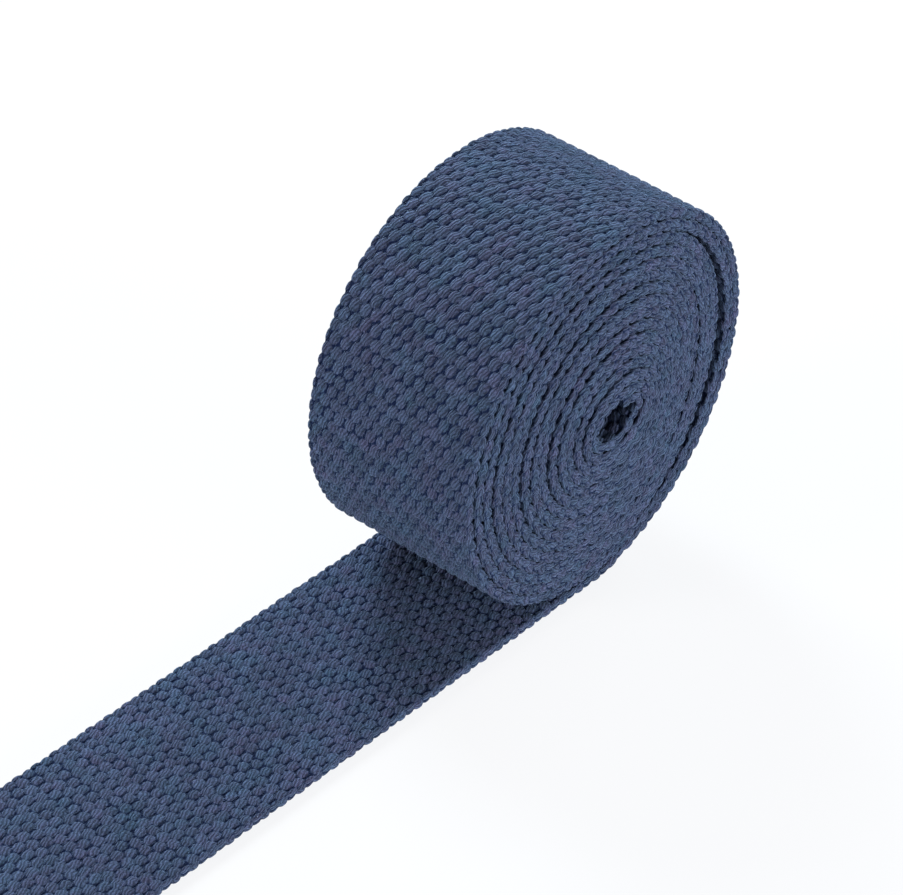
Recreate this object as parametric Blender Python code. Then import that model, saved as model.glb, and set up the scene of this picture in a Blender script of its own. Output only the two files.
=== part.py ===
"""A roll of thick woven webbing tape with its loose end lying flat, as one closed solid.

Metres, +Z up. The roll's axis runs along Y at x = 0, and the cloth rests on z = 0. The loose end
lies along -X. From there the tape passes under the roll, up its +X side, over the top and down
again, and so winds inwards to a small eye at the core. Each turn's woven edge is a ridge on the
two ends of the roll, with a groove between neighbouring turns.
"""

import math
from typing import NamedTuple

import bmesh
import bpy

# The tape itself
TAPE_WIDTH = 0.038
TAPE_THICKNESS = 0.00235
SELVEDGE_ROUND = 0.0007
LOOSE_END_LENGTH = 0.154

# The roll
ROLL_RADIUS = 0.0422
TURNS = 15.3
FLAT_SPOT_DEG = 7.5
GROOVE_DEPTH = 0.0013

# The turns have slid along the roll's axis, so its -Y end stands out at the core and its +Y end is hollow
CORE_SLIDE = 0.0040
SLIDE_WAVE = 0.00022
SLIDE_WAVES_PER_TURN = 0.31
SLIDE_WAVE_FROM = 0.25

# The eye that the innermost turn leaves is oval, longer towards +X and a little upwards
EYE_SQUASH = 0.16
EYE_TILT_DEG = 20.0
EYE_FADE = 0.005

# How finely the winding is divided
STEPS_PER_TURN = 48
LOOSE_END_STEPS = 14

# The dyed cotton
CLOTH_COLOUR = (0.047, 0.067, 0.133, 1.0)
CLOTH_ROUGHNESS = 0.9
SHARP_EDGE_DEG = 40.0

FULL_TURN = 2.0 * math.pi


class Gap(NamedTuple):
    """A stretch where one turn stands a little off the next, which deepens the groove there."""

    turns_in: int
    from_deg: float
    to_deg: float
    depth: float


GAPS = (
    Gap(turns_in=2, from_deg=5.0, to_deg=130.0, depth=0.0055),
    Gap(turns_in=6, from_deg=20.0, to_deg=330.0, depth=0.0016),
    Gap(turns_in=11, from_deg=200.0, to_deg=340.0, depth=0.0010),
)


def outer_face_radius(angle):
    """Distance of the tape's outer face from the roll's axis, wound inwards by this angle."""
    return ROLL_RADIUS - TAPE_THICKNESS * angle / FULL_TURN


def section_point(angle, through):
    """The x and z of the tape in the roll, through = 0 on its outer face and 1 on its inner face."""
    radius = outer_face_radius(angle) - through * TAPE_THICKNESS
    x = radius * math.sin(angle)
    z = -radius * math.cos(angle)

    core_radius = outer_face_radius(TURNS * FULL_TURN)
    squash = EYE_SQUASH * math.exp(-max(radius - core_radius, 0.0) / EYE_FADE)
    tilt = math.radians(EYE_TILT_DEG)
    along = (x * math.cos(tilt) + z * math.sin(tilt)) * (1.0 + squash)
    across = (z * math.cos(tilt) - x * math.sin(tilt)) * (1.0 - squash)
    x = along * math.cos(tilt) - across * math.sin(tilt)
    z = along * math.sin(tilt) + across * math.cos(tilt)

    if angle <= math.radians(FLAT_SPOT_DEG):
        z -= ROLL_RADIUS * (1.0 - math.cos(angle))
    return x, z + ROLL_RADIUS


def slide(angle):
    """How far the turn at this angle has slid along -Y. The outermost turn is in line with the loose end."""
    inner = max(angle - FULL_TURN, 0.0) / ((TURNS - 1.0) * FULL_TURN)
    wave = SLIDE_WAVE * math.sin(SLIDE_WAVES_PER_TURN * angle) * min(inner / SLIDE_WAVE_FROM, 1.0)
    return CORE_SLIDE * inner + wave


def groove_inset(step):
    """How far the groove on a turn's outer face lies in from the ridge of the woven edge."""
    if step <= STEPS_PER_TURN or step >= round(TURNS * STEPS_PER_TURN):
        return SELVEDGE_ROUND
    inset = GROOVE_DEPTH
    degrees = 360.0 * step / STEPS_PER_TURN
    for gap in GAPS:
        share = (degrees - 360.0 * gap.turns_in - gap.from_deg) / (gap.to_deg - gap.from_deg)
        if 0.0 < share < 1.0:
            inset += gap.depth * math.sin(math.pi * share) ** 2
    return inset


def add_point(mesh, x, z, side, inset, slid=0.0):
    """A vertex on the -Y end (side -1) or the +Y end (side 1), in from the woven edge by inset."""
    return mesh.verts.new((x, side * (0.5 * TAPE_WIDTH - inset) - slid, z))


def add_roll_end(mesh, side):
    """The ridged spiral on one end of the roll. Returns its groove line and its ridge line, outermost first."""
    last = round(TURNS * STEPS_PER_TURN)
    grooves = []
    for step in range(last + STEPS_PER_TURN + 1):
        angle = FULL_TURN * step / STEPS_PER_TURN
        x, z = section_point(angle, 0.0)
        grooves.append(add_point(mesh, x, z, side, groove_inset(step), slide(angle)))
    ridges = []
    for step in range(last + 1):
        angle = FULL_TURN * step / STEPS_PER_TURN
        x, z = section_point(angle, 0.5)
        ridges.append(add_point(mesh, x, z, side, 0.0, slide(angle)))
    for step in range(last):
        under = step + STEPS_PER_TURN
        mesh.faces.new((grooves[step], grooves[step + 1], ridges[step + 1], ridges[step]))
        mesh.faces.new((ridges[step], ridges[step + 1], grooves[under + 1], grooves[under]))
    return grooves, ridges


def add_wall(mesh, near_line, far_line):
    """The strip of cloth between two lines, one on each end of the roll."""
    for i in range(len(near_line) - 1):
        mesh.faces.new((near_line[i], far_line[i], far_line[i + 1], near_line[i + 1]))


def add_loose_end(mesh, near_start, far_start):
    """The flat tape along -X, drawn out of the six points of its section where it leaves the roll."""
    sections = [near_start + far_start[::-1]]
    rows = ((SELVEDGE_ROUND, 0.0), (0.0, 0.5), (SELVEDGE_ROUND, 1.0))
    for step in range(1, LOOSE_END_STEPS + 1):
        x = -LOOSE_END_LENGTH * step / LOOSE_END_STEPS
        near = [add_point(mesh, x, up * TAPE_THICKNESS, -1, inset) for inset, up in rows]
        far = [add_point(mesh, x, up * TAPE_THICKNESS, 1, inset) for inset, up in rows]
        sections.append(near + far[::-1])
    for before, after in zip(sections, sections[1:]):
        for i in range(len(before)):
            j = (i + 1) % len(before)
            mesh.faces.new((before[i], before[j], after[j], after[i]))
    mesh.faces.new(sections[-1])


def build_tape_mesh():
    """The whole tape as one closed shell."""
    mesh = bmesh.new()
    near_grooves, near_ridges = add_roll_end(mesh, -1)
    far_grooves, far_ridges = add_roll_end(mesh, 1)
    last = round(TURNS * STEPS_PER_TURN)
    inner = last + STEPS_PER_TURN

    add_wall(mesh, near_grooves[: STEPS_PER_TURN + 1], far_grooves[: STEPS_PER_TURN + 1])
    add_wall(mesh, near_grooves[last:], far_grooves[last:])
    add_wall(
        mesh,
        [near_grooves[last], near_ridges[last], near_grooves[inner]],
        [far_grooves[last], far_ridges[last], far_grooves[inner]],
    )
    add_loose_end(
        mesh,
        [near_grooves[0], near_ridges[0], near_grooves[STEPS_PER_TURN]],
        [far_grooves[0], far_ridges[0], far_grooves[STEPS_PER_TURN]],
    )
    bmesh.ops.recalc_face_normals(mesh, faces=mesh.faces)
    return mesh


def cloth_material():
    """Navy cotton, matt."""
    material = bpy.data.materials.new("navy_cotton_webbing")
    material.use_nodes = True
    shader = material.node_tree.nodes["Principled BSDF"]
    shader.inputs["Base Color"].default_value = CLOTH_COLOUR
    shader.inputs["Roughness"].default_value = CLOTH_ROUGHNESS
    shader.inputs["Metallic"].default_value = 0.0
    return material


def build_webbing_tape():
    """The roll and its loose end as one object."""
    mesh = build_tape_mesh()
    data = bpy.data.meshes.new("webbing_tape")
    mesh.to_mesh(data)
    mesh.free()
    data.materials.append(cloth_material())
    data.shade_smooth()
    data.set_sharp_from_angle(angle=math.radians(SHARP_EDGE_DEG))
    tape = bpy.data.objects.new("webbing_tape", data)
    bpy.context.scene.collection.objects.link(tape)
    return tape


def main():
    for old in list(bpy.data.objects):
        bpy.data.objects.remove(old, do_unlink=True)
    build_webbing_tape()


main()
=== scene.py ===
"""The roll of webbing tape, dressed as one length of woven navy cotton.

The tape is followed along its length. Its loose end lies along -X at negative lengths, and from zero
on it goes under the roll, up the +X side, over the top and so inwards to the eye. At each step along
it, the cloth's section is the outer skin of its warp yarns, which rise and sink in turn, so that the
knuckles, the pits between them and the scalloped edges are all real shapes, and the pits are darkened
further with painted shade. The tape is cut into six stretches only to keep each mesh small, and faces
that lie hidden between turns are left plain.
"""

import logging
import math
from dataclasses import dataclass
from enum import Enum
from typing import Any

import bmesh
import bpy
import numpy as np
from mathutils import Matrix, Vector


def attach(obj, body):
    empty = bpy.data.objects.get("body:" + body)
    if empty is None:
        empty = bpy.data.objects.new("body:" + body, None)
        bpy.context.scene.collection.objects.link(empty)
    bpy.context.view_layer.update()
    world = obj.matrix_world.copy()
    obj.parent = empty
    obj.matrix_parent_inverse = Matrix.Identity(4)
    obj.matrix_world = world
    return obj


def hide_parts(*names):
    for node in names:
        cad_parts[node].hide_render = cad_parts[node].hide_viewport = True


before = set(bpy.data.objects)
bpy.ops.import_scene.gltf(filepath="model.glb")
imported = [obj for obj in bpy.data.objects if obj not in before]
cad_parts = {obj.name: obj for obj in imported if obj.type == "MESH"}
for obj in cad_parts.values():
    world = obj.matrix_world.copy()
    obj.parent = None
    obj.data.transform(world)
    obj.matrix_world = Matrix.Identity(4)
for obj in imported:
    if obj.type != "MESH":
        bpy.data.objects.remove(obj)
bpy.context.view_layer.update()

NODE = "webbing_tape"

FULL_TURN = 2.0 * math.pi
MM = 0.001
WHOLE = (0.0, 1.0)

# Blender's wave texture repeats after this much of its coordinate at a scale of one
WAVE_BAND = FULL_TURN / 20.0

# The photograph's frame in pixels, for the camera's lens
PHOTO_WIDTH = 903
SENSOR_WIDTH_MM = 36.0

Tree = bpy.types.NodeTree
Socket = bpy.types.NodeSocket

log = logging.getLogger("webbing")


def linear(hex_colour: str) -> tuple[float, float, float, float]:
    """Turns an sRGB hex colour into linear light.

    Args:
        hex_colour: Six hex digits after a hash, such as "#3d4a66".

    Returns:
        Red, green, blue and an alpha of one.
    """
    parts = [int(hex_colour[i : i + 2], 16) / 255.0 for i in (1, 3, 5)]
    light = [c / 12.92 if c <= 0.04045 else ((c + 0.055) / 1.055) ** 2.4 for c in parts]
    return (light[0], light[1], light[2], 1.0)


def smooth_step(share: np.ndarray) -> np.ndarray:
    """Rises from 0 to 1 with level ends as share goes from 0 to 1."""
    held = np.clip(share, 0.0, 1.0)
    return held * held * (3.0 - 2.0 * held)


def add_node(tree: Tree, kind: str, settings: dict[str, Any], inputs: dict[Any, Any]) -> bpy.types.Node:
    """Adds one node to a tree.

    Args:
        tree: The tree that gets the node.
        kind: The node's type name.
        settings: Values of the node's own properties.
        inputs: A value, or a socket to link from, for each input by name or number.

    Returns:
        The new node.
    """
    node = tree.nodes.new(kind)
    for name, value in settings.items():
        setattr(node, name, value)
    for name, value in inputs.items():
        if isinstance(value, bpy.types.NodeSocket):
            tree.links.new(value, node.inputs[name])
        else:
            node.inputs[name].default_value = value
    return node


def multiply(tree: Tree, one: Socket, other: Socket | float) -> Socket:
    """Multiplies two values."""
    return add_node(tree, "ShaderNodeMath", {"operation": "MULTIPLY"}, {0: one, 1: other}).outputs["Value"]


def mix_colours(tree: Tree, share: Socket, first: Any, second: Any) -> Socket:
    """Mixes two colours. A mix node's colour sockets come after those for numbers and vectors."""
    sockets = {0: share, 6: first, 7: second}
    return add_node(tree, "ShaderNodeMix", {"data_type": "RGBA"}, sockets).outputs[2]


def spread(
    tree: Tree,
    value: Socket,
    span: tuple[float, float],
    onto: tuple[float, float],
    curve: str = "LINEAR",
) -> Socket:
    """Maps a value from one span onto another, and holds it at the ends.

    Args:
        tree: The tree that gets the node.
        value: The value to map.
        span: The value's least and greatest.
        onto: What these two become.
        curve: How it goes from the one to the other.

    Returns:
        The mapped value.
    """
    node = add_node(
        tree,
        "ShaderNodeMapRange",
        {"interpolation_type": curve},
        {"Value": value, "From Min": span[0], "From Max": span[1], "To Min": onto[0], "To Max": onto[1]},
    )
    return node.outputs["Result"]


@dataclass(frozen=True)
class Parting:
    """A place where the turns from one turn inwards stand off the turn outside them.

    Their shift fades away towards the eye, down to the share of it that is kept.
    """

    turns_in: int
    from_deg: float
    to_deg: float
    width: float
    kept: float = 0.0

    def shift(self, angle: np.ndarray, turns: float) -> np.ndarray:
        """How far the tape moves towards the roll's axis.

        Args:
            angle: Winding angles.
            turns: Number of turns in the whole roll, over which the shift fades away.

        Returns:
            A distance for each angle.
        """
        wound = angle / FULL_TURN
        share = (np.degrees(angle) % 360.0 - self.from_deg) / (self.to_deg - self.from_deg)
        opening = np.where((share > 0.0) & (share < 1.0), np.sin(np.pi * share) ** 2, 0.0)
        fade = np.clip((turns - wound) / (turns - self.turns_in), 0.0, 1.0)
        inside = wound >= self.turns_in
        return self.width * np.where(inside, opening * np.maximum(fade, self.kept), 0.0)


@dataclass(frozen=True)
class TapePath:
    """The way that the tape takes: flat along -X, and then wound inwards."""

    width: float = 0.038
    thickness: float = 0.00235
    loose_end: float = 0.154
    roll_radius: float = 0.0422
    turns: float = 15.5
    flat_from_deg: float = 6.0
    flat_to_deg: float = 16.0
    flat_fade_turns: float = 1.5
    core_slide: float = 0.0040
    slide_wave: float = 0.00022
    slide_waves_per_turn: float = 0.31
    slide_wave_from: float = 0.25
    eye_squash: float = 0.36
    eye_tilt_deg: float = 10.0
    eye_fade: float = 0.005
    partings: tuple[Parting, ...] = (
        Parting(turns_in=2, from_deg=0.0, to_deg=165.0, width=2.8 * MM),
        Parting(turns_in=5, from_deg=20.0, to_deg=150.0, width=0.6 * MM),
        Parting(turns_in=9, from_deg=200.0, to_deg=340.0, width=0.3 * MM),
        Parting(turns_in=15, from_deg=0.0, to_deg=125.0, width=1.3 * MM, kept=1.0),
    )

    def along_at(self, turns: float) -> float:
        """Measures the tape inwards along its winding.

        Args:
            turns: Number of turns in.

        Returns:
            The length of tape from the start of the roll.
        """
        angle = turns * FULL_TURN
        middle = self.roll_radius - 0.5 * self.thickness
        return middle * angle - self.thickness * angle * angle / (2.0 * FULL_TURN)

    def angle_at(self, along: np.ndarray) -> np.ndarray:
        """Finds how far round the tape has been wound.

        Args:
            along: Length along the tape, negative on the loose end.

        Returns:
            The winding angle from the bottom of the roll, zero on the loose end.
        """
        middle = self.roll_radius - 0.5 * self.thickness
        under_root = middle * middle - 2.0 * self.thickness * np.maximum(along, 0.0) / FULL_TURN
        return FULL_TURN / self.thickness * (middle - np.sqrt(under_root))

    def slide(self, angle: np.ndarray) -> np.ndarray:
        """How far the turns have slid along -Y. The outermost one is in line with the loose end.

        Args:
            angle: Winding angles.

        Returns:
            A distance for each angle.
        """
        inner = np.maximum(angle - FULL_TURN, 0.0) / ((self.turns - 1.0) * FULL_TURN)
        fade = np.minimum(inner / self.slide_wave_from, 1.0)
        wave = self.slide_wave * np.sin(self.slide_waves_per_turn * angle) * fade
        return self.core_slide * inner + wave

    def wound(self, angle: np.ndarray, radius: np.ndarray) -> tuple[np.ndarray, np.ndarray]:
        """Winds the tape round the roll's axis and round the oval eye at its core.

        Args:
            angle: Winding angles.
            radius: Distances from the axis as they would be round a circular eye.

        Returns:
            The x and z of each point, from the roll's axis.
        """
        x = radius * np.sin(angle)
        z = -radius * np.cos(angle)
        eye_radius = self.roll_radius - self.thickness * (self.turns + 1.0)
        squash = self.eye_squash * np.exp(-np.maximum(radius - eye_radius, 0.0) / self.eye_fade)
        tilt = math.radians(self.eye_tilt_deg)
        longways = (x * math.cos(tilt) + z * math.sin(tilt)) * (1.0 + squash)
        crossways = (z * math.cos(tilt) - x * math.sin(tilt)) * (1.0 - squash)
        x = longways * math.cos(tilt) - crossways * math.sin(tilt)
        z = longways * math.sin(tilt) + crossways * math.cos(tilt)
        return x, z

    def pressed(self, angle: np.ndarray, radius: np.ndarray) -> np.ndarray:
        """How far down the roll's weight presses each turn, just past its lowest point.

        Args:
            angle: Winding angles.
            radius: Distances from the roll's axis.

        Returns:
            A distance for each angle, less for turns further in.
        """
        past_bottom = np.degrees(angle) % 360.0
        share = (past_bottom - self.flat_from_deg) / (self.flat_to_deg - self.flat_from_deg)
        fade = np.exp(-np.floor(angle / FULL_TURN) / self.flat_fade_turns)
        return radius * (1.0 - np.cos(np.radians(past_bottom))) * (1.0 - smooth_step(share)) * fade

    def place(self, along: np.ndarray, across: np.ndarray, height: np.ndarray) -> np.ndarray:
        """Puts points of the flat tape where they lie on the object.

        Args:
            along: Length along the tape, negative on the loose end.
            across: Distance from the tape's centreline, towards +Y.
            height: Distance from the middle of the thickness towards the roll's outer face.

        Returns:
            The x, y and z of each point, in a last axis of three.
        """
        angle = self.angle_at(along)
        radius = self.roll_radius - self.thickness * (angle / FULL_TURN + 0.5) + height
        for parting in self.partings:
            radius = radius - parting.shift(angle, self.turns)
        x, z = self.wound(angle, radius)
        z = z + self.roll_radius - self.pressed(angle, radius)
        x = np.where(along < 0.0, along, x)
        z = np.where(along < 0.0, 0.5 * self.thickness - height, z)
        return np.stack([x, across - self.slide(angle), z], axis=-1)


@dataclass(frozen=True)
class Section:
    """The tape's even outline, which the crowns of its knuckles touch: a flat oblong with round corners.

    A place round it starts at the middle of the outer face and goes by the +Y edge, the inner face and
    the -Y edge.
    """

    width: float = 0.038
    thickness: float = 0.00235
    corner: float = 0.45 * MM

    def half_way(self) -> float:
        """Length of half the outline."""
        straight = (self.width - 2.0 * self.corner) + (self.thickness - 2.0 * self.corner)
        return straight + math.pi * self.corner

    def from_centreline(self, around: np.ndarray) -> np.ndarray:
        """How far round the outline each place is from the middle of its face, positive towards +Y."""
        past_near_edge = (around + 0.5 * self.half_way()) % (2.0 * self.half_way())
        return 0.5 * self.half_way() - np.abs(self.half_way() - past_near_edge)

    def at(self, around: np.ndarray) -> tuple[np.ndarray, np.ndarray]:
        """Finds places on the outline.

        Args:
            around: Distances round the outline.

        Returns:
            The points, across and up, and the ways that face outwards there.
        """
        past_half = around >= self.half_way()
        place = np.where(past_half, around - self.half_way(), around)
        face_end = 0.5 * self.width - self.corner
        bend = 0.5 * math.pi * self.corner
        edge = self.thickness - 2.0 * self.corner
        stops = np.cumsum([0.0, face_end, bend, edge, bend, face_end])
        turns = np.array([0.0, 0.0, 0.5, 0.5, 1.0, 1.0]) * math.pi
        angle = np.interp(place, stops, turns)
        centre_across = np.interp(place, stops, [0.0, face_end, face_end, face_end, face_end, 0.0])
        flat_up = 0.5 * self.thickness - self.corner
        centre_up = np.interp(place, stops, [flat_up, flat_up, flat_up, -flat_up, -flat_up, -flat_up])
        outwards = np.stack([np.sin(angle), np.cos(angle)], axis=-1)
        points = np.stack([centre_across, centre_up], axis=-1) + self.corner * outwards
        side = np.where(past_half, -1.0, 1.0)[:, None]
        return points * side, outwards * side


class Unevenness(Enum):
    """What differs from knuckle to knuckle. Each kind draws random numbers of its own."""

    SIDEWAYS = 1
    PHASE = 2
    HEIGHT = 3
    WIDTH = 4
    TONE = 5


@dataclass(frozen=True)
class Yarns:
    """The warp yarns, in arrays with a row for each step along the tape and a column for each yarn."""

    height: np.ndarray
    half_width: np.ndarray
    sideways: np.ndarray
    tone: np.ndarray


@dataclass(frozen=True)
class Weave:
    """A plain weave of thick warp yarns that hide the weft.

    The columns of knuckles go all the way round the tape: thirty on each face and two on each edge.
    """

    face_columns: int = 30
    edge_columns: int = 2
    repeat: float = 4.72 * MM
    crimp: float = 0.30 * MM
    yarn_half_height: float = 0.52 * MM
    roundness: float = 2.2
    narrow_half_width: float = 1.14 * MM
    wide_half_width: float = 1.28 * MM
    squeeze: float = 0.18
    knuckle_slant_deg: float = 8.0
    flattening: float = 0.12
    skew: float = 0.096
    skew_ends_at: float = 0.02
    seed: int = 7
    phase_wander: float = 0.17
    side_wander: float = 0.05 * MM
    height_wander: float = 0.03 * MM
    width_wander: float = 0.05
    wander_lengths: tuple[float, ...] = (4.1 * MM, 6.7 * MM, 11.0 * MM, 19.0 * MM, 43.0 * MM)
    wander_size: float = 0.45

    def columns(self) -> int:
        """Number of columns of knuckles round the tape."""
        return 2 * (self.face_columns + self.edge_columns)

    def pitch(self, section: Section) -> float:
        """Distance between the middles of neighbouring columns."""
        return 2.0 * section.half_way() / self.columns()

    def draw(self, kind: Unevenness) -> np.random.Generator:
        """The random numbers of one kind of unevenness, the same in each run and each stretch."""
        return np.random.default_rng([self.seed, kind.value])

    def wander(self, along: np.ndarray, kind: Unevenness) -> np.ndarray:
        """A gentle unevenness of its own for each column, about -1 to 1.

        Args:
            along: Length along the tape at each step.
            kind: What is uneven.

        Returns:
            A value for each step and column.
        """
        numbers = self.draw(kind)
        shape = (self.columns(), len(self.wander_lengths))
        starts = numbers.uniform(0.0, FULL_TURN, shape)
        sizes = numbers.normal(0.0, self.wander_size, shape)
        turns = along[:, None, None] / np.array(self.wander_lengths) * FULL_TURN + starts
        return np.sum(np.sin(turns) * sizes, axis=-1)

    def yarns(self, along: np.ndarray, section: Section) -> Yarns:
        """Works out how each warp yarn rises, sinks, narrows and sways along the tape.

        Args:
            along: Length along the tape at each step.
            section: The tape's even outline.

        Returns:
            The yarns, with heights of about zero on a crown and below zero elsewhere.
        """
        column = np.arange(self.columns())
        middles, outwards = section.at((column + 0.5) * self.pitch(section))
        across = middles[:, 0]
        skew = self.skew * (1.0 - smooth_step((along + self.skew_ends_at) / (2.0 * self.skew_ends_at)))
        phase = FULL_TURN * (along[:, None] - skew[:, None] * across) / self.repeat + math.pi * column
        phase = phase + self.phase_wander * self.wander(along, Unevenness.PHASE)

        rise = (np.cos(phase) - self.flattening * np.cos(3.0 * phase)) / (1.0 - self.flattening)
        height = self.crimp * (rise - 1.0) + self.height_wander * self.wander(along, Unevenness.HEIGHT)
        widest = np.where(column % 2 == 0, self.wide_half_width, self.narrow_half_width)
        narrowing = self.squeeze * np.sin(phase) ** 2
        share = 1.0 - narrowing + self.width_wander * self.wander(along, Unevenness.WIDTH)
        slant = math.tan(math.radians(self.knuckle_slant_deg)) * self.repeat / FULL_TURN
        sideways = slant * np.sin(phase) * outwards[:, 1]
        sideways = sideways + self.side_wander * self.wander(along, Unevenness.SIDEWAYS)

        knuckle = np.rint(phase / FULL_TURN).astype(int)
        tones = self.draw(Unevenness.TONE).uniform(size=(self.columns(), np.ptp(knuckle) + 1))
        tone = tones[column, knuckle - knuckle.min()]
        return Yarns(height=height, half_width=widest * share, sideways=sideways, tone=tone)

    def relief(
        self, along: np.ndarray, around: np.ndarray, section: Section
    ) -> tuple[np.ndarray, np.ndarray]:
        """Works out the woven skin over the section's even outline.

        Args:
            along: Length along the tape at each step.
            around: Places round the section.
            section: The even outline.

        Returns:
            A height for each step and place, about zero on a crown and below zero elsewhere, and a
            number from 0 to 1 that is the knuckle's own.
        """
        yarns = self.yarns(along, section)
        pitch = self.pitch(section)
        skin = np.full((len(along), len(around)), -2.0 * self.crimp - self.yarn_half_height)
        tone = np.zeros(skin.shape)
        nearest = np.floor(around / pitch).astype(int)
        for neighbour in (-2, -1, 0, 1, 2):
            which = (nearest + neighbour) % self.columns()
            offset = around - (nearest + neighbour + 0.5) * pitch - yarns.sideways[:, which]
            share = np.clip(np.abs(offset) / yarns.half_width[:, which], 0.0, 1.0)
            flank = self.yarn_half_height * (np.sqrt(1.0 - share**self.roundness) - 1.0)
            yarn = yarns.height[:, which] + flank
            tone = np.where(yarn > skin, yarns.tone[:, which], tone)
            skin = np.maximum(skin, yarn)
        return skin, tone


class FaceDetail(Enum):
    """How finely a face of the tape is modelled: steps for each column of knuckles."""

    FINE = 5
    GOOD = 4
    COARSE = 2
    EDGES_ONLY = 0


@dataclass(frozen=True)
class SectionSteps:
    """The places round the section at which its skin is worked out."""

    weave: Weave
    outer: FaceDetail
    inner: FaceDetail
    edge_steps: int = 4
    selvedge_steps: tuple[int, ...] = (4, 2, 1, 0, 1)

    def face_steps(self, detail: FaceDetail) -> list[int]:
        """Shares out the steps over one half of a face.

        Args:
            detail: How finely the face is modelled.

        Returns:
            The number of steps in each column, from the face's middle to its edge.
        """
        half = self.weave.face_columns // 2
        if detail is FaceDetail.EDGES_ONLY:
            hidden = [0] * (half - len(self.selvedge_steps))
            return hidden + list(self.selvedge_steps[::-1])
        return [detail.value] * half

    def places(self, section: Section) -> np.ndarray:
        """Distances round the section, from the middle of the outer face to where it closes.

        Args:
            section: The tape's even outline.

        Returns:
            The distances in rising order, the first of them zero.
        """
        edge = [self.edge_steps] * self.weave.edge_columns
        outer = self.face_steps(self.outer)
        inner = self.face_steps(self.inner)
        half_round = outer + edge + inner[::-1]
        pitch = self.weave.pitch(section)
        starts = []
        for column, count in enumerate(half_round + half_round[::-1]):
            for step in range(count):
                starts.append((column + step / count) * pitch)
        if starts[0] > 0.0:
            starts.insert(0, 0.0)
        return np.array(starts + [2.0 * section.half_way()])


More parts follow.
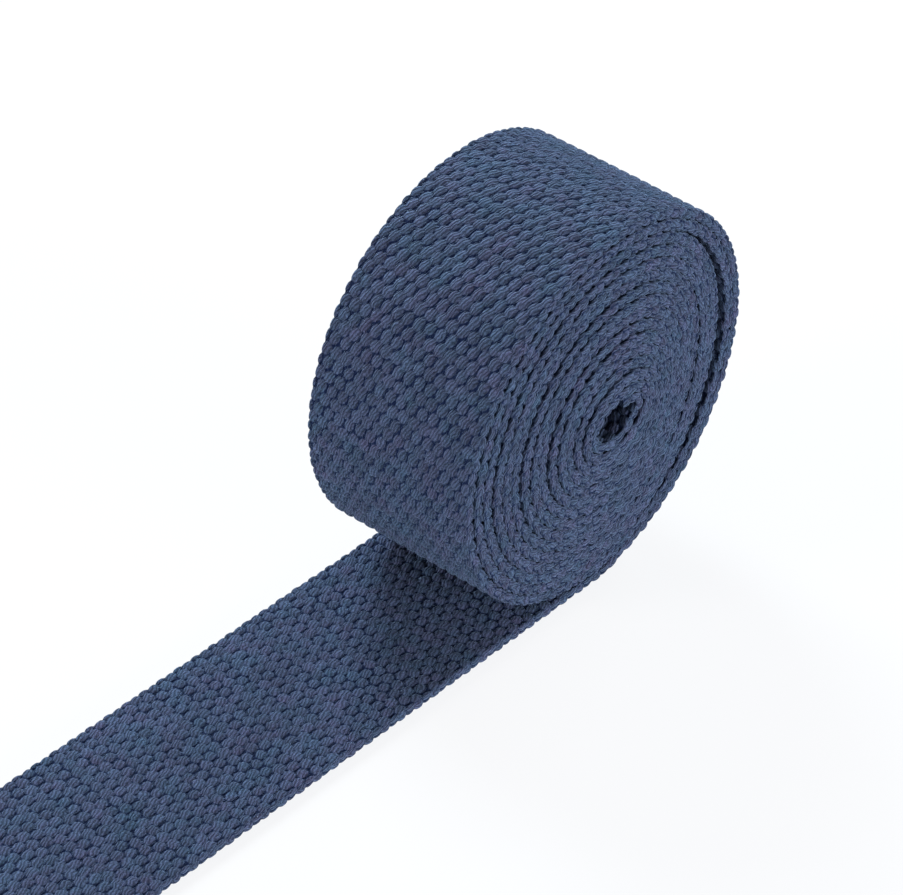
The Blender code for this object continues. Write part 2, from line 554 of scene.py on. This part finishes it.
@dataclass(frozen=True)
class WovenCotton:
    """Dyed cotton webbing, woven from plied yarns."""

    # Cotton is matt, so the eye gets next to no highlight from it, only a soft pale sheen where loose
    # fibres stand against the light. Plies show as slanting ridges on each yarn, with painted highlight on
    # them and painted shade between them, and the pits get a painted shade that goes nearly black.
    cool: str = "#31455e"
    warm: str = "#3c405d"
    # Painted shade: the near-black that the pits are painted towards, standing in for the shade in them
    painted_pit_shade: str = "#0a193a"
    roughness: float = 0.9
    shine: float = 0.12
    sheen: float = 0.52
    sheen_roughness: float = 0.34
    sheen_tint: str = "#8fb0d8"
    ply_pitch: float = 0.62 * MM
    ply_slant_deg: float = 22.0
    ply_depth: float = 0.16 * MM
    ply_distortion: float = 6.0
    ply_detail: float = 2.0
    ply_detail_scale: float = 1.3
    # Painted highlight and shade: the dye lighter on each ply's ridge and darker between plies
    ply_painted_shades: tuple[float, float] = (0.58, 1.34)
    fibre_width: float = 0.17 * MM
    fibre_length: float = 0.55 * MM
    fibre_depth: float = 0.18 * MM
    fibre_detail: float = 2.0
    fibre_roughness: float = 0.6
    fibre_span: tuple[float, float] = (0.25, 0.75)
    # Painted highlight and shade: the dye lighter on the fibres and darker between them
    fibre_painted_shades: tuple[float, float] = (0.36, 1.80)
    knuckle_shades: tuple[float, float] = (0.84, 1.16)
    patch_size: float = 7.0 * MM
    patch_detail: float = 3.0
    patch_roughness: float = 0.7
    patch_span: tuple[float, float] = (0.3, 0.7)
    # How deep in a pit, as a share, the painted shade starts and where it is full
    painted_shade_span: tuple[float, float] = (0.52, 0.78)

    def material(self) -> bpy.types.Material:
        """Makes the material. The cloth's UV map is its length and width in metres.

        Returns:
            The material, which all stretches of the tape share.
        """
        material = bpy.data.materials.new("navy_woven_cotton")
        material.use_nodes = True
        tree = material.node_tree
        flat = add_node(tree, "ShaderNodeUVMap", {"uv_map": "UVMap"}, {}).outputs["UV"]
        tone = add_node(tree, "ShaderNodeAttribute", {"attribute_name": "knuckle_tone"}, {}).outputs["Fac"]
        # How deep in a pit each place is, which sets the painted shade there
        depth = add_node(tree, "ShaderNodeAttribute", {"attribute_name": "painted_shade_depth"}, {}).outputs["Fac"]

        turn = (0.0, 0.0, -math.radians(90.0 + self.ply_slant_deg))
        turned = add_node(tree, "ShaderNodeMapping", {}, {"Vector": flat, "Rotation": turn})
        slanted = turned.outputs["Vector"]
        plies = self.plies(tree, slanted, tone)
        fibres = self.fibres(tree, slanted)
        # Painted highlight and shade from the plies and fibres, and painted shade in the pits
        shade = self.shade(tree, plies, fibres, tone)
        colour = self.colour(tree, self.dye(tree, flat), shade, depth)

        shader = tree.nodes["Principled BSDF"]
        tree.links.new(colour, shader.inputs["Base Color"])
        tree.links.new(self.normal(tree, plies, fibres), shader.inputs["Normal"])
        shader.inputs["Roughness"].default_value = self.roughness
        shader.inputs["Specular IOR Level"].default_value = self.shine
        shader.inputs["Sheen Weight"].default_value = self.sheen
        shader.inputs["Sheen Roughness"].default_value = self.sheen_roughness
        shader.inputs["Sheen Tint"].default_value = linear(self.sheen_tint)
        return material

    def plies(self, tree: Tree, slanted: Socket, tone: Socket) -> Socket:
        """Ridges slantwise round each yarn, one for each ply pitch, which start anew on each knuckle.

        Args:
            tree: The material's tree.
            slanted: The flat cloth, turned so that its first axis crosses the plies.
            tone: The knuckle's own number.

        Returns:
            A height from 0 to 1.
        """
        wave = add_node(
            tree,
            "ShaderNodeTexWave",
            {"wave_type": "BANDS", "bands_direction": "X", "wave_profile": "SIN"},
            {
                "Vector": slanted,
                "Scale": WAVE_BAND / self.ply_pitch,
                "Distortion": self.ply_distortion,
                "Detail": self.ply_detail,
                "Detail Scale": self.ply_detail_scale,
                "Phase Offset": multiply(tree, tone, FULL_TURN),
            },
        )
        return wave.outputs["Fac"]

    def fibres(self, tree: Tree, slanted: Socket) -> Socket:
        """Fine streaks along the plies.

        Args:
            tree: The material's tree.
            slanted: The flat cloth, turned so that its first axis crosses the plies.

        Returns:
            A height from 0 to 1.
        """
        scale = (1.0 / self.fibre_width, 1.0 / self.fibre_length, 1.0)
        combed = add_node(tree, "ShaderNodeMapping", {}, {"Vector": slanted, "Scale": scale})
        noise = add_node(
            tree,
            "ShaderNodeTexNoise",
            {},
            {
                "Vector": combed.outputs["Vector"],
                "Scale": 1.0,
                "Detail": self.fibre_detail,
                "Roughness": self.fibre_roughness,
            },
        )
        return noise.outputs["Fac"]

    def dye(self, tree: Tree, flat: Socket) -> Socket:
        """The dyed cotton, which takes the dye a little differently from patch to patch.

        Args:
            tree: The material's tree.
            flat: The flat cloth.

        Returns:
            A colour between cool and warm.
        """
        patches = add_node(
            tree,
            "ShaderNodeTexNoise",
            {},
            {
                "Vector": flat,
                "Scale": 1.0 / self.patch_size,
                "Detail": self.patch_detail,
                "Roughness": self.patch_roughness,
            },
        )
        hue = spread(tree, patches.outputs["Fac"], self.patch_span, WHOLE)
        return mix_colours(tree, hue, linear(self.cool), linear(self.warm))

    def shade(self, tree: Tree, plies: Socket, fibres: Socket, tone: Socket) -> Socket:
        """How light the dye looks: painted highlight on plies and fibres and painted shade between them,
        and a little different on each knuckle.

        Args:
            tree: The material's tree.
            plies: Height of the plies.
            fibres: Height of the fibres.
            tone: The knuckle's own number.

        Returns:
            A factor for the dye's colour.
        """
        # Painted highlight and shade from the plies and fibres; each knuckle's own tone is random
        painted_ply_shade = spread(tree, plies, WHOLE, self.ply_painted_shades)
        painted_fibre_shade = spread(tree, fibres, self.fibre_span, self.fibre_painted_shades)
        on_knuckle = spread(tree, tone, WHOLE, self.knuckle_shades)
        return multiply(tree, multiply(tree, painted_ply_shade, painted_fibre_shade), on_knuckle)

    def colour(self, tree: Tree, dye: Socket, shade: Socket, depth: Socket) -> Socket:
        """The cloth's colour, with a painted shade that goes nearly black deep in the pits.

        Args:
            tree: The material's tree.
            dye: The dyed cotton.
            shade: How light the dye looks.
            depth: How deep in a pit the place is, from 0 to 1, which sets the painted shade.

        Returns:
            The colour.
        """
        shaded = add_node(
            tree, "ShaderNodeVectorMath", {"operation": "SCALE"}, {"Vector": dye, "Scale": shade}
        )
        # Painted shade: the colour goes towards near-black where the pit is deep
        painted_shade = spread(tree, depth, self.painted_shade_span, WHOLE, curve="SMOOTHSTEP")
        return mix_colours(tree, painted_shade, shaded.outputs["Vector"], linear(self.painted_pit_shade))

    def normal(self, tree: Tree, plies: Socket, fibres: Socket) -> Socket:
        """The fine relief of the plies and, over it, that of the fibres.

        Args:
            tree: The material's tree.
            plies: Height of the plies.
            fibres: Height of the fibres.

        Returns:
            The surface's direction.
        """
        ply_relief = {"Height": plies, "Distance": self.ply_depth, "Strength": 1.0}
        ply_bump = add_node(tree, "ShaderNodeBump", {}, ply_relief)
        fibre_relief = {"Height": fibres, "Distance": self.fibre_depth, "Strength": 1.0}
        fibre_relief["Normal"] = ply_bump.outputs["Normal"]
        return add_node(tree, "ShaderNodeBump", {}, fibre_relief).outputs["Normal"]


@dataclass(frozen=True)
class Skin:
    """The skin of one stretch, in arrays with a row for each step and a column for each place round it."""

    points: np.ndarray
    flat: np.ndarray
    painted_pit_shade: np.ndarray
    tone: np.ndarray


@dataclass(frozen=True)
class TapeStretch:
    """One stretch of the tape, as a closed mesh of its woven skin.

    Nesting is how much thicker the cloth is made than its turns are apart, so that their woven edges
    press into each other.
    """

    name: str
    start: float
    end: float
    outer: FaceDetail
    inner: FaceDetail
    nesting: float
    path: TapePath
    weave: Weave
    steps_per_repeat: int = 12
    # The depth in a pit at which the painted shade is full
    painted_shade_full_depth: float = 0.55 * MM
    seam_tolerance: float = 0.001 * MM

    def skin(self) -> Skin:
        """Works out the points of the woven skin.

        Returns:
            The points, their flat places in length and width, how deep in a pit each one is, and the
            tone of its knuckle.
        """
        steps = round((self.end - self.start) / self.weave.repeat * self.steps_per_repeat)
        along = np.linspace(self.start, self.end, steps + 1)
        section = Section(width=self.path.width, thickness=self.path.thickness + self.nesting)
        around = SectionSteps(self.weave, self.outer, self.inner).places(section)
        relief, tone = self.weave.relief(along, around, section)
        outline, outwards = section.at(around)
        across = outline[:, 0] + relief * outwards[:, 0]
        height = outline[:, 1] + relief * outwards[:, 1]
        points = self.path.place(np.broadcast_to(along[:, None], across.shape), across, height)
        points[:, -1] = points[:, 0]
        flat = np.stack(np.meshgrid(along, section.from_centreline(around), indexing="ij"), axis=-1)
        # How deep in a pit each point is, which the material turns into painted shade
        painted_pit_shade = np.clip(-relief / self.painted_shade_full_depth, 0.0, 1.0)
        return Skin(points=points, flat=flat, painted_pit_shade=painted_pit_shade, tone=tone)

    def build(self) -> bpy.types.Object:
        """Makes the mesh: a grid rolled round the section, its seam merged and its two ends filled.

        Returns:
            The piece, at the origin.
        """
        skin = self.skin()
        steps, rays = skin.painted_pit_shade.shape[0] - 1, skin.painted_pit_shade.shape[1] - 1
        bpy.ops.object.select_all(action="DESELECT")
        bpy.ops.mesh.primitive_grid_add(x_subdivisions=steps, y_subdivisions=rays, size=1.0)
        piece = bpy.context.object
        piece.name = self.name
        piece.data.name = self.name
        self.roll_up(piece.data, skin)
        self.close()
        self.shade(piece.data)
        return piece

    def roll_up(self, mesh: bpy.types.Mesh, skin: Skin) -> None:
        """Moves a square grid's points onto the skin, and gives them what the material reads.

        Args:
            mesh: The grid, one wide and one long about its middle.
            skin: The skin, with a row and a column of points more than the grid has squares.
        """
        steps, rays = skin.painted_pit_shade.shape[0] - 1, skin.painted_pit_shade.shape[1] - 1
        corners = np.empty(len(mesh.vertices) * 3)
        mesh.vertices.foreach_get("co", corners)
        corners = corners.reshape(-1, 3)
        step = np.rint((corners[:, 0] + 0.5) * steps).astype(int)
        ray = np.rint((corners[:, 1] + 0.5) * rays).astype(int)
        mesh.vertices.foreach_set("co", skin.points[step, ray].ravel())

        # The depth in a pit drives the painted shade; the knuckle's tone is its own random tone
        for name, values in (("painted_shade_depth", skin.painted_pit_shade), ("knuckle_tone", skin.tone)):
            attribute = mesh.attributes.new(name, "FLOAT", "POINT")
            attribute.data.foreach_set("value", values[step, ray])
        loop_vertex = np.empty(len(mesh.loops), dtype=int)
        mesh.loops.foreach_get("vertex_index", loop_vertex)
        map_places = skin.flat[step[loop_vertex], ray[loop_vertex]]
        mesh.uv_layers[0].name = "UVMap"
        mesh.uv_layers[0].data.foreach_set("uv", map_places.ravel())
        mesh.update()

    def close(self) -> None:
        """Merges the seam of the active piece, fills its two ends and turns its faces outwards."""
        bpy.ops.object.mode_set(mode="EDIT")
        bpy.ops.mesh.select_all(action="SELECT")
        bpy.ops.mesh.remove_doubles(threshold=self.seam_tolerance)
        bpy.ops.mesh.select_all(action="DESELECT")
        bpy.ops.mesh.select_mode(type="EDGE")
        bpy.ops.mesh.select_non_manifold()
        bpy.ops.mesh.fill_holes(sides=0)
        bpy.ops.mesh.select_all(action="SELECT")
        bpy.ops.mesh.normals_make_consistent(inside=False)
        bpy.ops.object.mode_set(mode="OBJECT")

    def shade(self, mesh: bpy.types.Mesh) -> None:
        """Shades the skin smooth and the two cut ends, which have more than four corners, flat.

        Args:
            mesh: The closed mesh.
        """
        shell = bmesh.new()
        shell.from_mesh(mesh)
        for face in shell.faces:
            face.smooth = len(face.verts) <= 4
            if not face.smooth:
                for edge in face.edges:
                    edge.smooth = False
        shell.to_mesh(mesh)
        shell.free()

    def dress(self, piece: bpy.types.Object, material: bpy.types.Material) -> None:
        """Gives the piece its cloth and ties it to the frame.

        Args:
            piece: The finished mesh.
            material: The cloth.
        """
        piece.data.materials.append(material)
        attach(piece, "root")
        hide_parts(NODE)
        triangles = sum(len(face.vertices) - 2 for face in piece.data.polygons)
        log.info("%s: %d triangles", piece.name, triangles)


@dataclass(frozen=True)
class WebbingTape:
    """The whole tape, in six stretches from its loose end to its inner end."""

    path: TapePath = TapePath()
    weave: Weave = Weave()
    cotton: WovenCotton = WovenCotton()
    nesting: float = 0.25 * MM
    ends_in_turns: tuple[float, ...] = (1.0, 4.5, 9.0, 14.4)

    def stretches(self) -> list[TapeStretch]:
        """Cuts the tape up. Only the turns inside the outermost one nest.

        Returns:
            The six stretches, from the loose end inwards.
        """
        first, second, third, fourth = (self.path.along_at(turns) for turns in self.ends_in_turns)
        last = self.path.along_at(self.path.turns)
        fine, good = FaceDetail.FINE, FaceDetail.GOOD
        coarse, edges = FaceDetail.COARSE, FaceDetail.EDGES_ONLY
        plan = (
            ("loose_end", -self.path.loose_end, 0.0, coarse, fine, 0.0),
            ("outer_turn", 0.0, first, good, edges, 0.0),
            ("outer_turns_within", first, second, edges, edges, self.nesting),
            ("middle_turns", second, third, edges, edges, self.nesting),
            ("core_turns", third, fourth, edges, edges, self.nesting),
            ("inner_end", fourth, last, edges, good, self.nesting),
        )
        return [TapeStretch(*row, path=self.path, weave=self.weave) for row in plan]

    def build(self) -> None:
        material = self.cotton.material()
        for stretch in self.stretches():
            piece = stretch.build()
            stretch.dress(piece, material)


@dataclass(frozen=True)
class Camera:
    """The camera at the photograph's viewing angle."""

    azimuth_deg: float = -53.849
    elevation_deg: float = 36.428
    roll_deg: float = 5.430
    distance: float = 0.8322
    focal_pixels: float = 4505.3
    nearest: float = 0.01
    furthest: float = 50.0
    target: tuple[float, float, float] = (-0.0209, 0.0, 0.0349)

    def build(self) -> None:
        """Makes the camera and gives it to the scene."""
        azimuth = math.radians(self.azimuth_deg)
        elevation = math.radians(self.elevation_deg)
        roll = math.radians(self.roll_deg)
        back = Vector(
            (
                math.sin(azimuth) * math.cos(elevation),
                -math.cos(azimuth) * math.cos(elevation),
                math.sin(elevation),
            )
        )
        level_right = (-back).cross(Vector((0.0, 0.0, 1.0))).normalized()
        level_up = level_right.cross(-back)
        right = level_right * math.cos(roll) + level_up * math.sin(roll)
        up = level_up * math.cos(roll) - level_right * math.sin(roll)
        lens = bpy.data.cameras.new("photo_camera")
        lens.sensor_width = SENSOR_WIDTH_MM
        lens.lens = self.focal_pixels * SENSOR_WIDTH_MM / PHOTO_WIDTH
        lens.clip_start = self.nearest
        lens.clip_end = self.furthest
        camera = bpy.data.objects.new("photo_camera", lens)
        bpy.context.scene.collection.objects.link(camera)
        turn = Matrix((right, up, back)).transposed().to_4x4()
        camera.matrix_world = Matrix.Translation(Vector(self.target) + back * self.distance) @ turn
        bpy.context.scene.camera = camera


@dataclass(frozen=True)
class Softbox:
    """A square area light that is aimed at the roll."""

    name: str
    place: tuple[float, float, float]
    size: float
    power: float
    colour: str
    target: tuple[float, float, float] = (-0.02, 0.0, 0.03)

    def build(self) -> None:
        """Makes the light."""
        light = bpy.data.lights.new(self.name, "AREA")
        light.shape = "SQUARE"
        light.size = self.size
        light.energy = self.power
        light.color = linear(self.colour)[:3]
        lamp = bpy.data.objects.new(self.name, light)
        bpy.context.scene.collection.objects.link(lamp)
        aim = Vector(self.place) - Vector(self.target)
        lamp.location = self.place
        lamp.rotation_mode = "QUATERNION"
        lamp.rotation_quaternion = aim.to_track_quat("Z", "Y")


@dataclass(frozen=True)
class LitAcrylic:
    """Milky acrylic that is lit from below."""

    # The eye gets an even glow from it, close to white, on which a shadow is only faint
    colour: str = "#4e4e4f"
    glow: str = "#fafbfd"
    glow_strength: float = 0.915
    roughness: float = 0.9
    shine: float = 0.0

    def material(self) -> bpy.types.Material:
        """Makes the material.

        Returns:
            The floor's material.
        """
        material = bpy.data.materials.new("lit_milky_acrylic")
        material.use_nodes = True
        shader = material.node_tree.nodes["Principled BSDF"]
        shader.inputs["Base Color"].default_value = linear(self.colour)
        shader.inputs["Roughness"].default_value = self.roughness
        shader.inputs["Specular IOR Level"].default_value = self.shine
        shader.inputs["Emission Color"].default_value = linear(self.glow)
        shader.inputs["Emission Strength"].default_value = self.glow_strength
        return material


@dataclass(frozen=True)
class Studio:
    """A plain pale table, even light from all round, and four softboxes."""

    floor_size: float = 12.0
    floor_drop: float = 0.1 * MM
    floor: LitAcrylic = LitAcrylic()
    air_colour: str = "#fff8f0"
    air_strength: float = 0.22
    softboxes: tuple[Softbox, ...] = (
        Softbox("back_softbox", (0.40, 0.95, 0.85), 0.5, 24.0, "#ecfaff"),
        Softbox("right_softbox", (1.15, 0.15, 0.60), 0.5, 12.0, "#e8fbff"),
        Softbox("left_softbox", (-1.05, 0.40, 0.34), 0.3, 13.5, "#fff9f2"),
        Softbox("front_softbox", (0.10, -1.15, 0.20), 0.5, 18.5, "#fffaf6"),
    )

    def build(self) -> None:
        """Makes the floor, the even light of the room and the softboxes."""
        bpy.ops.object.select_all(action="DESELECT")
        bpy.ops.mesh.primitive_plane_add(size=self.floor_size, location=(0.0, 0.0, -self.floor_drop))
        floor = bpy.context.object
        floor.name = "pale_floor"
        floor.data.materials.append(self.floor.material())

        world = bpy.data.worlds.new("studio_air")
        world.use_nodes = True
        air = world.node_tree.nodes["Background"]
        air.inputs["Color"].default_value = linear(self.air_colour)
        air.inputs["Strength"].default_value = self.air_strength
        bpy.context.scene.world = world
        for softbox in self.softboxes:
            softbox.build()
        bpy.context.scene.view_settings.view_transform = "Standard"


def main() -> None:
    """Builds the camera, the tape and the studio in order."""
    logging.basicConfig(level=logging.INFO, format="%(message)s")
    Camera().build()
    WebbingTape().build()
    Studio().build()


if __name__ == "__main__":
    main()
